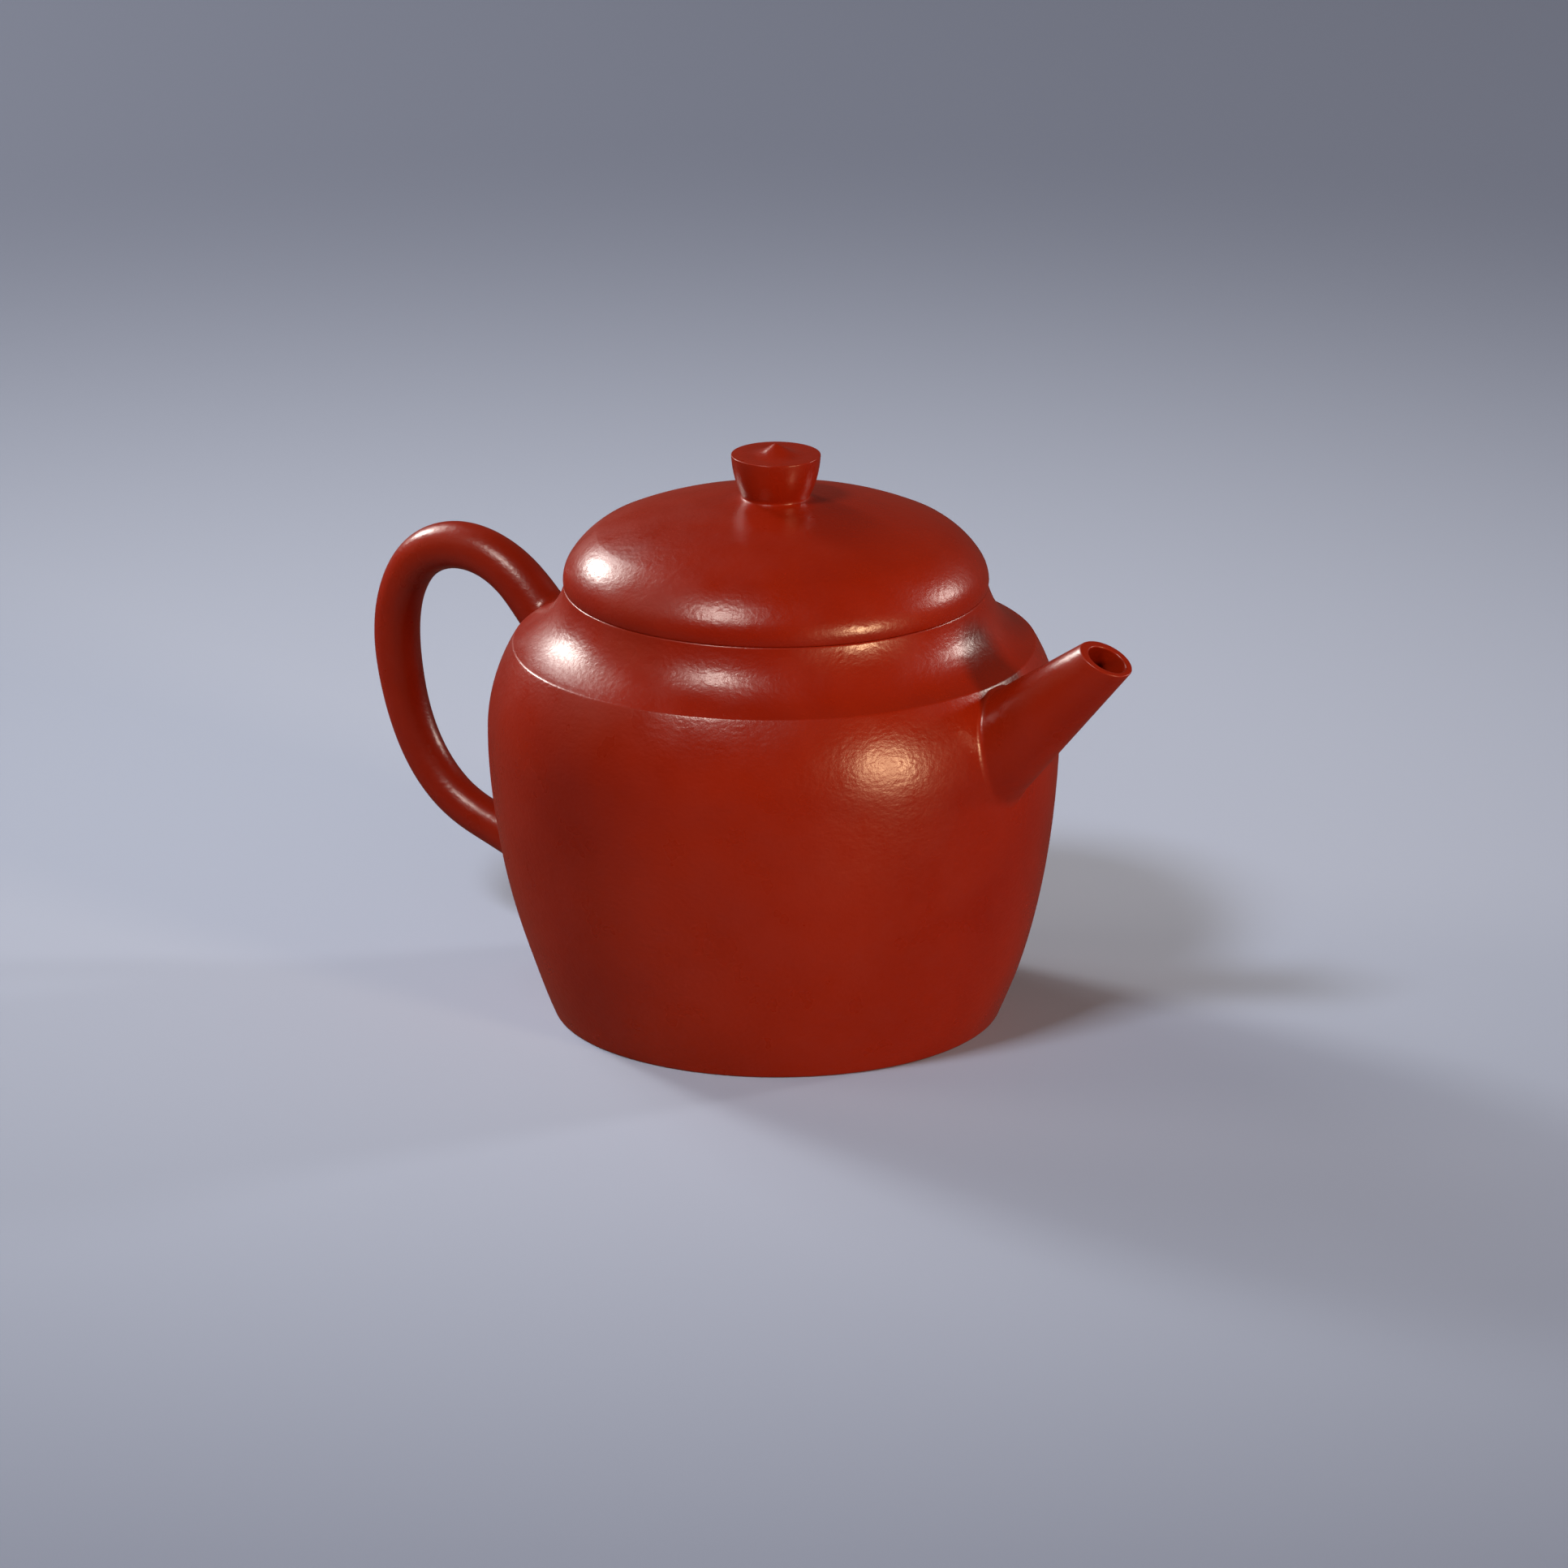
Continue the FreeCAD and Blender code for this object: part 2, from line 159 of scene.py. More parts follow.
def arc(start, end, radius, side):
    """Points after start of the short arc to end; side +1 has its centre on the left."""
    start, end = np.array(start, float), np.array(end, float)
    chord = end - start
    length = np.linalg.norm(chord)
    left = np.array([-chord[1], chord[0]]) / length
    centre = (start + end) / 2 + left * side * math.sqrt(radius ** 2 - (length / 2) ** 2)
    first = math.atan2(*(start - centre)[::-1])
    sweep = 2 * math.asin(length / 2 / radius) * side
    count = max(2, math.ceil(length / ARC_STEP))
    angles = first + sweep * np.arange(1, count + 1) / count
    return centre + radius * np.stack([np.cos(angles), np.sin(angles)], 1)


def run(start, end):
    """Points from one corner to the next. A corner is (radius, height, softness) or
    (radius, height, softness, arc radius, side)."""
    first = np.array([start[:2]], float)
    if len(start) == 5:
        return np.vstack([first, arc(start[:2], end[:2], start[3], start[4])])
    last = np.array(end[:2], float)
    count = max(2, math.ceil(np.linalg.norm(last - first[0]) / FLAT_STEP))
    share = np.arange(count + 1)[:, None] / count
    return first + (last - first) * share


def along(path, distance):
    """Point of a path at a distance from its start, and the points after it."""
    steps = np.linalg.norm(np.diff(path, axis=0), axis=1)
    reached = np.concatenate([[0], np.cumsum(steps)])
    distance = min(distance, reached[-1] * CORNER_SHARE)
    point = np.array([np.interp(distance, reached, path[:, k]) for k in range(path.shape[1])])
    return np.vstack([point, path[reached > distance + TINY]])


def bend(start, corner, end, count):
    """Points strictly between start and end of a soft bend past a corner."""
    share = np.arange(1, count + 1)[:, None] / (count + 1)
    return (1 - share) ** 2 * start + 2 * share * (1 - share) * corner + share ** 2 * end


def outline(corners, closed=False):
    """A turned piece's outline, with every corner softened as far as it says."""
    total = len(corners)
    paths = []
    for number in range(total if closed else total - 1):
        start, end = corners[number], corners[(number + 1) % total]
        path = run(start, end)
        if start[2] > 0:
            path = along(path, start[2])
        if end[2] > 0:
            path = along(path[::-1], end[2])[::-1]
        paths.append(path)
    points = []
    for number, path in enumerate(paths):
        points.append(path)
        corner = corners[(number + 1) % total]
        if corner[2] > 0 and (closed or number + 1 < len(paths)):
            following = paths[(number + 1) % len(paths)]
            points.append(bend(path[-1], np.array(corner[:2], float), following[0],
                               CORNER_POINTS))
    points = np.vstack(points)
    keep = [0]
    for number in range(1, len(points)):
        if np.linalg.norm(points[number] - points[keep[-1]]) > SAME_POINT:
            keep.append(number)
    if closed and np.linalg.norm(points[keep[-1]] - points[0]) < SAME_POINT:
        keep.pop()
    return points[keep]


def lower_radius(height, inset=0.0):
    """Radius of the wall below the belly, inset by a thickness."""
    return (BELLY_RADIUS - LOWER_ARC
            + math.sqrt((LOWER_ARC - inset) ** 2 - (BELLY_HEIGHT - height) ** 2))


def upper_radius(height, inset=0.0):
    """Radius of the wall above the belly, inset by a thickness."""
    return (BELLY_RADIUS - UPPER_ARC
            + math.sqrt((UPPER_ARC - inset) ** 2 - (height - BELLY_HEIGHT) ** 2))


def crown_height(radius, inset=0.0):
    """Height of the lid's crown at a radius, inset by a thickness."""
    return LID_TOP - CROWN_ARC + math.sqrt((CROWN_ARC - inset) ** 2 - radius ** 2)


# ---------------------------------------------------------------- hand work

WAVE_HEIGHT = 0.035

# The pot leans this way, by these amounts at the belly and at the foot.
LEAN_TOWARDS = math.radians(214.5)
LEAN_BELLY = 0.32
LEAN_FOOT = -0.18

# Heights between which the belly's lean sets in, the waves set in, and both fade out.
LEAN_RISE = (8, 40)
WAVE_RISE = (0.5, 9)
NECK_CALM = (58, 64.5)

# Nothing moves nearer the axis than the first radius, and all of it beyond the second.
STILL_CENTRE = (20, 30)


def waves(seed, count, turns, pitch):
    """Random shallow waves: times round, cycles per millimetre of height, phase, share."""
    draw = random.Random(seed)
    return [(draw.randint(*turns), draw.uniform(-1, 1) / pitch, draw.uniform(0, 2 * math.pi),
             draw.uniform(0.4, 1.0)) for _ in range(count)]


POT_WAVES = waves(5, 14, (1, 9), 24.0)
LID_WAVES = waves(8, 10, (1, 7), 20.0)


def wave(kind, angle, height):
    """Outward shift of a hand-worked wall, in millimetres."""
    total = 0.0
    for turns, cycles, phase, share in kind:
        total = total + share * np.sin(turns * angle + 2 * math.pi * cycles * height + phase)
    return WAVE_HEIGHT * total


def ease(value, low, high):
    """0 below low, 1 above high and smooth between."""
    share = np.clip((value - low) / (high - low), 0, 1)
    return share * share * (3 - 2 * share)


def pot_shift(angle, height):
    """The pot's waviness and slight lean, which fade out at the seat."""
    lean = LEAN_FOOT + (LEAN_BELLY - LEAN_FOOT) * ease(height, *LEAN_RISE)
    shift = wave(POT_WAVES, angle, height) * ease(height, *WAVE_RISE)
    fade = ease(-height, -NECK_CALM[1], -NECK_CALM[0])
    return (shift + lean * np.cos(angle - LEAN_TOWARDS)) * fade


# ---------------------------------------------------------------- meshes

def add_mesh(name, points, faces):
    """Object with a closed smooth mesh, from points in millimetres."""
    mesh = bpy.data.meshes.new(name)
    mesh.from_pydata((np.asarray(points) * MM).tolist(), [], faces)
    work = bmesh.new()
    work.from_mesh(mesh)
    bmesh.ops.recalc_face_normals(work, faces=work.faces)
    work.to_mesh(mesh)
    work.free()
    for face in mesh.polygons:
        face.use_smooth = True
    piece = bpy.data.objects.new(name, mesh)
    bpy.context.scene.collection.objects.link(piece)
    return piece


def strip_faces(rows, around, closed=False):
    """Quads between rings of points that are stored ring after ring."""
    faces = []
    for row in range(rows if closed else rows - 1):
        below, above = row * around, (row + 1) % rows * around
        for k in range(around):
            after = (k + 1) % around
            faces.append((below + k, below + after, above + after, above + k))
    return faces


def lathe(name, profile, around=256, closed=False, shift=None):
    """Turned piece. shift(angle, radius, height) gives the moved radius and height."""
    angles = 2 * math.pi * np.arange(around) / around
    ends = () if closed else (profile[0], profile[-1])
    rings = profile if closed else profile[1:-1]
    points = []
    for radius, height in rings:
        radii, heights = np.full(around, radius), np.full(around, height)
        if shift is not None:
            radii, heights = shift(angles, radii, heights)
        points.append(np.stack([radii * np.cos(angles), radii * np.sin(angles), heights], 1))
    points = np.vstack(points)
    faces = strip_faces(len(rings), around, closed)
    for number, (_, height) in enumerate(ends):
        tip = len(points)
        points = np.vstack([points, [0, 0, height]])
        ring = 0 if number == 0 else (len(rings) - 1) * around
        faces += [(tip, ring + k, ring + (k + 1) % around) for k in range(around)]
    return add_mesh(name, points, faces)


def cut(piece, tool):
    """Take a tool's volume out of a piece, and delete the tool."""
    step = piece.modifiers.new("cut", "BOOLEAN")
    step.operation = "DIFFERENCE"
    step.solver = "EXACT"
    step.object = tool
    graph = bpy.context.evaluated_depsgraph_get()
    mesh = bpy.data.meshes.new_from_object(piece.evaluated_get(graph))
    piece.modifiers.clear()
    old = piece.data
    piece.data = mesh
    mesh.name = piece.name
    bpy.data.meshes.remove(old)
    bpy.data.objects.remove(tool)
    return piece


def tube_tool(start, end, radii, around=40):
    """Closed round tool between two points, whose radius goes through a list."""
    start, end = np.array(start, float), np.array(end, float)
    axis = (end - start) / np.linalg.norm(end - start)
    side = np.cross(axis, [0, 1, 0] if abs(axis[1]) < 0.9 else [1, 0, 0])
    side /= np.linalg.norm(side)
    other = np.cross(axis, side)
    angles = 2 * math.pi * np.arange(around) / around
    spokes = np.outer(np.cos(angles), side) + np.outer(np.sin(angles), other)
    rings = []
    for share, radius in radii:
        rings.append(start + (end - start) * share + spokes * radius)
    faces = strip_faces(len(rings), around)
    faces += [tuple(range(around)), tuple(range((len(rings) - 1) * around,
                                                len(rings) * around))]
    return add_mesh("tool", np.vstack(rings), faces)


# ---------------------------------------------------------------- the pot

def pot_outside():
    """The pot's outer outline from the foot up to the seat's edge."""
    return [
        (lower_radius(0), 0, 0.35, LOWER_ARC, 1),
        (BELLY_RADIUS, BELLY_HEIGHT, 0, UPPER_ARC, 1),
        (SHOULDER_RADIUS, SHOULDER_HEIGHT, 0.22, SHOULDER_ARC, -1),
        (NECK_RADIUS, NECK_HEIGHT, 0, SHOULDER_ARC, -1),
        (SEAT_RADIUS, SEAT_HEIGHT, 0.3),
    ]


def make_pot_body():
    floor_radius = lower_radius(SLAB, WALL)
    lip_foot = SEAT_HEIGHT - MOUTH_DEPTH
    corners = [(0, 0, 0)] + pot_outside() + [
        (MOUTH_RADIUS, SEAT_HEIGHT, 0.4),
        (MOUTH_RADIUS, lip_foot, 0.5, SHOULDER_ARC + WALL, 1),
        (upper_radius(SHOULDER_HEIGHT, WALL), SHOULDER_HEIGHT, 1.5, UPPER_ARC - WALL, -1),
        (BELLY_RADIUS - WALL, BELLY_HEIGHT, 0, LOWER_ARC - WALL, -1),
        (floor_radius, SLAB, 4.0),
        (0, SLAB, 0),
    ]

    def shift(angle, radius, height):
        return radius + pot_shift(angle, height) * ease(radius, *STILL_CENTRE), height

    body = lathe("pot_body", outline(corners), shift=shift)
    tool = tube_tool((BELLY_RADIUS / 2, 0, PASSAGE_HEIGHT), (BELLY_RADIUS + WALL, 0,
                     PASSAGE_HEIGHT), [(0, PASSAGE_RADIUS), (1, PASSAGE_RADIUS)])
    return cut(body, tool)


# What is luted on ends a hair below the surface, in a bend of this many points, and its last
# points lie this deep in the wall and this share of the fillet back towards its middle.
SUNK = 0.03
FILLET_POINTS = 9
BURIED_DEPTH = 0.5
BURIED_SHARE = 0.6


class PotSurface:
    """The pot's outer surface, for whatever is luted onto it."""

    def __init__(self):
        self.line = outline(pot_outside())
        order = np.argsort(self.line[:, 1])
        self.heights, self.radii = self.line[order, 1], self.line[order, 0]

    def depth(self, points):
        """How far points lie outside the wall, sideways; negative inside it."""
        points = np.atleast_2d(points)
        angle = np.arctan2(points[:, 1], points[:, 0])
        wall = np.interp(points[:, 2], self.heights, self.radii)
        return (np.hypot(points[:, 0], points[:, 1]) - wall
                - pot_shift(angle, points[:, 2]))

    def nearest(self, point):
        """Nearest surface point, and the outward normal there."""
        angle = math.atan2(point[1], point[0])
        flat = np.array([math.hypot(point[0], point[1]) - pot_shift(angle, point[2]),
                         point[2]])
        start, step = self.line[:-1], np.diff(self.line, axis=0)
        share = np.clip(((flat - start) * step).sum(1) / (step ** 2).sum(1), 0, 1)
        foots = start + step * share[:, None]
        best = int(np.argmin(((flat - foots) ** 2).sum(1)))
        across, up = step[best] / np.linalg.norm(step[best])
        radius = foots[best, 0] + pot_shift(angle, foots[best, 1])
        place = np.array([radius * math.cos(angle), radius * math.sin(angle),
                          foots[best, 1]])
        normal = np.array([up * math.cos(angle), up * math.sin(angle), -across])
        return place, normal

    def meet(self, path, inset=0.0):
        """Where a path that comes from outside first goes below the surface: the point,
        and the outside part of the path."""
        outside = self.depth(path) + inset
        first = int(np.argmax(outside < 0))
        share = outside[first - 1] / (outside[first - 1] - outside[first])
        hit = path[first - 1] + (path[first] - path[first - 1]) * share
        return hit, np.vstack([path[:first], hit])


def resample(path, count):
    """The same path with evenly spaced points, its ends included."""
    steps = np.linalg.norm(np.diff(path, axis=0), axis=1)
    reached = np.concatenate([[0], np.cumsum(steps)])
    places = np.linspace(0, reached[-1], count)
    return np.stack([np.interp(places, reached, path[:, k]) for k in range(3)], 1)


def luted_root(surface, path, middle, fillet, count):
    """One side line of a limb that comes down to the pot: evenly spaced points, a soft
    bend onto the surface and a last point inside the wall. middle is the limb's axis."""
    hit, outside = surface.meet(path)
    side = hit - middle
    side /= np.linalg.norm(side)
    _, normal = surface.nearest(hit)
    side = side - normal * side.dot(normal)
    side /= np.linalg.norm(side)
    landing, normal = surface.nearest(hit + side * fillet)
    landing = landing - normal * SUNK
    trimmed = along(outside[::-1], fillet)[::-1]
    line = resample(trimmed, count)
    buried = landing - normal * BURIED_DEPTH - side * fillet * BURIED_SHARE
    return np.vstack([line, bend(line[-1], hit, landing, FILLET_POINTS), landing, buried])


SPOUT_AROUND = 96
SPOUT_ROWS = 60
SPOUT_FILLET = 0.95

# Distances along the spout's axis from its base: its walls are followed from AHEAD down to
# BEHIND, which is inside the pot, and the axis from FAR_AHEAD.
FAR_AHEAD = 20
HOLLOW_LENGTH = 12
BEHIND = -9
AXIS_SAMPLES = 200
WALL_SAMPLES = 160

# The hollow stops this far outside the wall. Rows in its wide part, its cone and the bore.
HOLLOW_GAP = 0.5
HOLLOW_ROWS = 4
CONE_ROWS = 6
BORE_ROWS = 8

# How far the lip's two edges are softened, down each wall and across the lip.
LIP_POINTS = 4
LIP_OUTER = 0.3
LIP_INNER = 0.4
LIP_ACROSS_OUTER = 0.25
LIP_ACROSS_INNER = 0.35


def make_spout(surface):
    ahead = np.array([math.cos(SPOUT_RISE), 0, math.sin(SPOUT_RISE)])
    over = np.array([-math.sin(SPOUT_RISE), 0, math.cos(SPOUT_RISE)])
    lip = np.array([math.cos(LIP_RISE), 0, math.sin(LIP_RISE)])
    taper = (SPOUT_LIP_RADIUS - SPOUT_ROOT_RADIUS) / SPOUT_LENGTH
    axis = SPOUT_BASE + ahead * np.linspace(FAR_AHEAD, BEHIND, AXIS_SAMPLES)[:, None]
    root, _ = surface.meet(axis)
    middle = SPOUT_BASE + ahead * (root - SPOUT_BASE).dot(ahead)
    lines = []
    for number in range(SPOUT_AROUND):
        angle = 2 * math.pi * number / SPOUT_AROUND
        spoke = over * math.cos(angle) + np.array([0, 1, 0]) * math.sin(angle)
        forward = ahead.dot(lip)
        sideways = spoke.dot(lip)

        # Where the outer and inner walls reach the slanting plane of the lip.
        outer_end = ((SPOUT_LENGTH * forward - SPOUT_ROOT_RADIUS * sideways)
                     / (forward + taper * sideways))
        inner_end = SPOUT_LENGTH - BORE_RADIUS * sideways / forward

        def outer(distance):
            radius = SPOUT_ROOT_RADIUS + taper * distance
            return SPOUT_BASE + ahead * distance + spoke * radius

        outer_edge = outer(outer_end)
        inner_edge = SPOUT_BASE + ahead * inner_end + spoke * BORE_RADIUS
        across = (outer_edge - inner_edge) / np.linalg.norm(outer_edge - inner_edge)
        wall = np.array([outer(distance) for distance
                         in np.linspace(outer_end - LIP_OUTER, BEHIND, WALL_SAMPLES)])
        down = luted_root(surface, wall, middle, SPOUT_FILLET, SPOUT_ROWS)
        inward = np.linspace(HOLLOW_LENGTH, BEHIND, WALL_SAMPLES)[:, None]
        hollow_path = SPOUT_BASE + spoke * HOLLOW_RADIUS + ahead * inward
        hollow_foot, _ = surface.meet(hollow_path, HOLLOW_GAP)
        throat = SPOUT_BASE + ahead * (SPOUT_LENGTH - BORE_LENGTH) + spoke * BORE_RADIUS
        hollow_top = SPOUT_BASE + spoke * HOLLOW_RADIUS
        inner_low = inner_edge - ahead * LIP_INNER
        up = np.vstack([resample(np.vstack([hollow_foot, hollow_top]), HOLLOW_ROWS),
                        resample(np.vstack([hollow_top, throat]), CONE_ROWS)[1:],
                        resample(np.vstack([throat, inner_low]), BORE_ROWS)[1:]])
        lip_in = inner_edge + across * LIP_ACROSS_INNER
        lip_out = outer_edge - across * LIP_ACROSS_OUTER
        lines.append(np.vstack([
            bend(wall[0], outer_edge, lip_out, LIP_POINTS)[::-1], wall[0], down[1:], up,
            bend(inner_low, inner_edge, lip_in, LIP_POINTS), lip_in, lip_out]))
    rows = len(lines[0])
    points = np.stack(lines, 1).reshape(-1, 3)
    return add_mesh("spout_cone", points, strip_faces(rows, SPOUT_AROUND, closed=True))


def spline(knots, count):
    """Smooth curve through the rows of knots, sampled evenly by chord length."""
    knots = np.array(knots, float)
    steps = np.linalg.norm(np.diff(knots[:, :2], axis=0), axis=1)
    at = np.concatenate([[0], np.cumsum(steps)])
    size = len(knots)
    matrix, right = np.eye(size), np.zeros_like(knots)
    for k in range(1, size - 1):
        matrix[k, k - 1:k + 2] = (steps[k - 1], 2 * (steps[k - 1] + steps[k]), steps[k])
        right[k] = 6 * ((knots[k + 1] - knots[k]) / steps[k]
                        - (knots[k] - knots[k - 1]) / steps[k - 1])
    bends = np.linalg.solve(matrix, right)
    places = np.linspace(0, at[-1], count)
    rows = []
    for place in places:
        k = min(int(np.searchsorted(at, place, side="right")) - 1, size - 2)
        gap, left, rest = steps[k], place - at[k], at[k + 1] - place
        rows.append((bends[k] * rest ** 3 + bends[k + 1] * left ** 3) / (6 * gap)
                    + (knots[k] / gap - bends[k] * gap / 6) * rest
                    + (knots[k + 1] / gap - bends[k + 1] * gap / 6) * left)
    return np.array(rows)


HANDLE_AROUND = 64
HANDLE_ROWS = 96
HANDLE_SAMPLES = 420
HANDLE_FILLET = 2.2

# The roll swells and thins by this share along its length, over these radians in all.
SWELL = 0.008
SWELL_TURNS = 31

# Depth of the closed ends inside the wall.
END_DEPTH = 0.9


def make_handle(surface):
    line = spline(HANDLE, HANDLE_SAMPLES)
    centre = np.stack([line[:, 0], np.zeros(len(line)), line[:, 1]], 1)
    tangent = np.gradient(centre, axis=0)
    tangent /= np.linalg.norm(tangent, axis=1)[:, None]
    normal = np.stack([-tangent[:, 2], np.zeros(len(line)), tangent[:, 0]], 1)
    half = len(line) // 2
    upper_hit, _ = surface.meet(centre[:half][::-1])
    lower_hit, _ = surface.meet(centre[half:])
    swell = line[:, 2] * (1 + SWELL * np.sin(np.linspace(0, SWELL_TURNS, len(line))))
    lines = []
    for number in range(HANDLE_AROUND):
        angle = 2 * math.pi * number / HANDLE_AROUND
        spoke = normal * math.cos(angle) + np.array([0, 1, 0]) * math.sin(angle)
        path = centre + spoke * swell[:, None]
        upper = luted_root(surface, path[:half + 1][::-1], upper_hit, HANDLE_FILLET,
                           HANDLE_ROWS)
        lower = luted_root(surface, path[half:], lower_hit, HANDLE_FILLET, HANDLE_ROWS)
        lines.append(np.vstack([upper[::-1], lower[1:]]))
    rows = len(lines[0])
    points = np.stack(lines, 1).reshape(-1, 3)
    faces = strip_faces(rows, HANDLE_AROUND)
    for first, hit in ((0, upper_hit), ((rows - 1) * HANDLE_AROUND, lower_hit)):
        tip = len(points)
        _, outward = surface.nearest(hit)
        points = np.vstack([points, hit - outward * END_DEPTH])
        faces += [(tip, first + k, first + (k + 1) % HANDLE_AROUND)
                  for k in range(HANDLE_AROUND)]
    return add_mesh("handle_loop", points, faces)


# ---------------------------------------------------------------- the lid

# Heights over which the lid's waves set in above its edge, and the rings outside the
# knob's flare over which they do.
LID_WAVE_RISE = (67.8, 71)
LID_WAVE_RING = (FLARE_RADIUS + 1, FLARE_RADIUS + 9)

# The vent widens at its top: share of the depth, and times its radius. It is cut from this
# far above the crown.
VENT_PROFILE = [(0, 1), (0.8, 1), (0.9, 1.15), (1, 1.6)]
VENT_ABOVE = 0.15


def lid_shift(angle, radius, height):
    """The lid's waviness, which fades out at its edge and under the knob."""
    rise = ease(height, *LID_WAVE_RISE) * ease(radius, *LID_WAVE_RING)
    amount = wave(LID_WAVES, angle, radius + height) * rise
    out = np.stack([radius, height - SEAT_HEIGHT + LID_EDGE_ARC])
    out = out / np.maximum(np.linalg.norm(out, axis=0), TINY)
    return radius + out[0] * amount, height + out[1] * amount


def make_lid_shell():
    inner_side = LID_SIDE_RADIUS - LID_WALL
    inner_crown = CROWN_RADIUS - 1
    bore = TONGUE_OUTER - TONGUE_WALL
    corners = [
        (0, LID_TOP - LID_WALL, 0, CROWN_ARC - LID_WALL, -1),
        (inner_crown, crown_height(inner_crown, LID_WALL), 0, LID_SIDE_ARC - LID_WALL, -1),
        (inner_side, PLATE_TOP, 0.6),
        (bore, PLATE_TOP, 0.4),
        (bore, SEAT_HEIGHT, 0.3),
        (SEAT_RADIUS, SEAT_HEIGHT, 0.22, LID_EDGE_ARC, 1),
        (LID_RADIUS, LID_EDGE_HEIGHT, 0, LID_EDGE_ARC, 1),
        (LID_SIDE_RADIUS, LID_SIDE_HEIGHT, 0, LID_SIDE_ARC, 1),
        (CROWN_RADIUS, crown_height(CROWN_RADIUS), 3.0, CROWN_ARC, 1),
        (0, LID_TOP, 0),
    ]
    shell = lathe("lid_shell", outline(corners), shift=lid_shift)
    flared = [(share, VENT_RADIUS * times) for share, times in VENT_PROFILE]
    surface = crown_height(math.hypot(*VENT))
    tool = tube_tool((*VENT, surface - 2 * LID_WALL), (*VENT, surface + VENT_ABOVE), flared)
    return cut(shell, tool)


# The peak's tip is blunt, and the rim stands a hair above the dish.
TIP_DROP = 0.04
TIP_RADIUS = 0.3
TIP_SIDE_DROP = 0.14
RIM_LIFT = 0.05

# The flare is a curve of this many points. It leaves the neck steeply, towards STEEP_PULL,
# and lands along the crown's own slope, which it follows for LANDING mm. Below, the knob ends
# inside the lid's crown.
FLARE_POINTS = 26
STEEP_PULL = (0.55, -0.62)
LANDING = 4.5
UNDER_INSET = 0.4
UNDER_DEPTH = 0.5

# The flare's edge wanders: amount, times round, phase. It sets in over these drops from
# the neck.
WANDER = [(0.35, 3, 0.7), (0.2, 5, 2.1)]
WANDER_DROP = (0.1, 0.9)


def make_knob():
    share = np.linspace(0, 1, FLARE_POINTS)[1:, None]
    neck = np.array([KNOB_NECK_RADIUS, KNOB_NECK_HEIGHT])
    fall = FLARE_RADIUS / CROWN_ARC
    landing = np.array([FLARE_RADIUS, crown_height(FLARE_RADIUS) - SUNK])
    flat_pull = landing + np.array([-LANDING, LANDING * fall])
    steep_pull = neck + np.array(STEEP_PULL)
    side = outline([
        (0, PEAK_HEIGHT - TIP_DROP, 0),
        (TIP_RADIUS, PEAK_HEIGHT - TIP_SIDE_DROP, 0.15),
        (CONE_RADIUS, RIM_HEIGHT, 1.4),
        (RIM_RADIUS, RIM_HEIGHT + RIM_LIFT, 0.16, KNOB_SIDE_ARC, -1),
        (KNOB_NECK_RADIUS, KNOB_NECK_HEIGHT, 0),
    ])
    flare = ((1 - share) ** 3 * neck + 3 * share * (1 - share) ** 2 * steep_pull
             + 3 * share ** 2 * (1 - share) * flat_pull + share ** 3 * landing)
    under = outline([
        (FLARE_RADIUS - UNDER_INSET, crown_height(FLARE_RADIUS) - UNDER_DEPTH, 0),
        (0, crown_height(0) - UNDER_DEPTH, 0),
    ])
    profile = np.vstack([side, flare, under])

    def shift(angle, radius, height):
        """The slip round the foot was smoothed by hand, so its edge wanders."""
        skirt = ease(-height, *(drop - KNOB_NECK_HEIGHT for drop in WANDER_DROP))
        wander = sum(amount * np.sin(turns * angle + phase) for amount, turns, phase in WANDER)
        moved = radius + wander * skirt * ease(radius, KNOB_NECK_RADIUS, FLARE_RADIUS)
        drop = np.array([crown_height(a) - crown_height(b) for a, b in zip(moved, radius)])
        return moved, height + drop

    return lathe("knob_turned", profile, around=192, shift=shift)


def make_tongue():
    inner = TONGUE_OUTER - TONGUE_WALL
    corners = [
        (inner, TONGUE_FOOT, 0.7),
        (TONGUE_OUTER, TONGUE_FOOT, 0.7),
        (TONGUE_OUTER, SEAT_HEIGHT, 0),
        (inner, SEAT_HEIGHT, 0),
    ]
    return lathe("lid_tongue", outline(corners, closed=True), closed=True)


# ---------------------------------------------------------------- materials

def node(tree, kind, **settings):
    made = tree.nodes.new(kind)
    for name, value in settings.items():
        setattr(made, name, value)
    return made


def noise(tree, place, scale, detail=3.0, rough=0.5, twist=0.0):
    made = node(tree, "ShaderNodeTexNoise")
    made.inputs["Scale"].default_value = scale
    made.inputs["Detail"].default_value = detail
    made.inputs["Roughness"].default_value = rough
    made.inputs["Distortion"].default_value = twist
    tree.links.new(place, made.inputs["Vector"])
    return made.outputs["Fac"]


def remap(tree, value, low, high, new_low, new_high):
    made = node(tree, "ShaderNodeMapRange")
    for name, number in zip(("From Min", "From Max", "To Min", "To Max"),
                            (low, high, new_low, new_high)):
        made.inputs[name].default_value = number
    tree.links.new(value, made.inputs["Value"])
    return made.outputs["Result"]


def maths(tree, operation, first, second):
    made = node(tree, "ShaderNodeMath", operation=operation)
    for socket, value in zip(made.inputs, (first, second)):
        if isinstance(value, (int, float)):
            socket.default_value = value
        else:
            tree.links.new(value, socket)
    return made.outputs[0]


def mix_colour(tree, share, first, second):
    made = node(tree, "ShaderNodeMix", data_type="RGBA")
    for socket, value in zip((made.inputs[0], made.inputs[6], made.inputs[7]),
                             (share, first, second)):
        if isinstance(value, (int, float)):
            socket.default_value = value
        elif isinstance(value, tuple):
            socket.default_value = (*value, 1)
        else:
            tree.links.new(value, socket)
    return made.outputs[2]


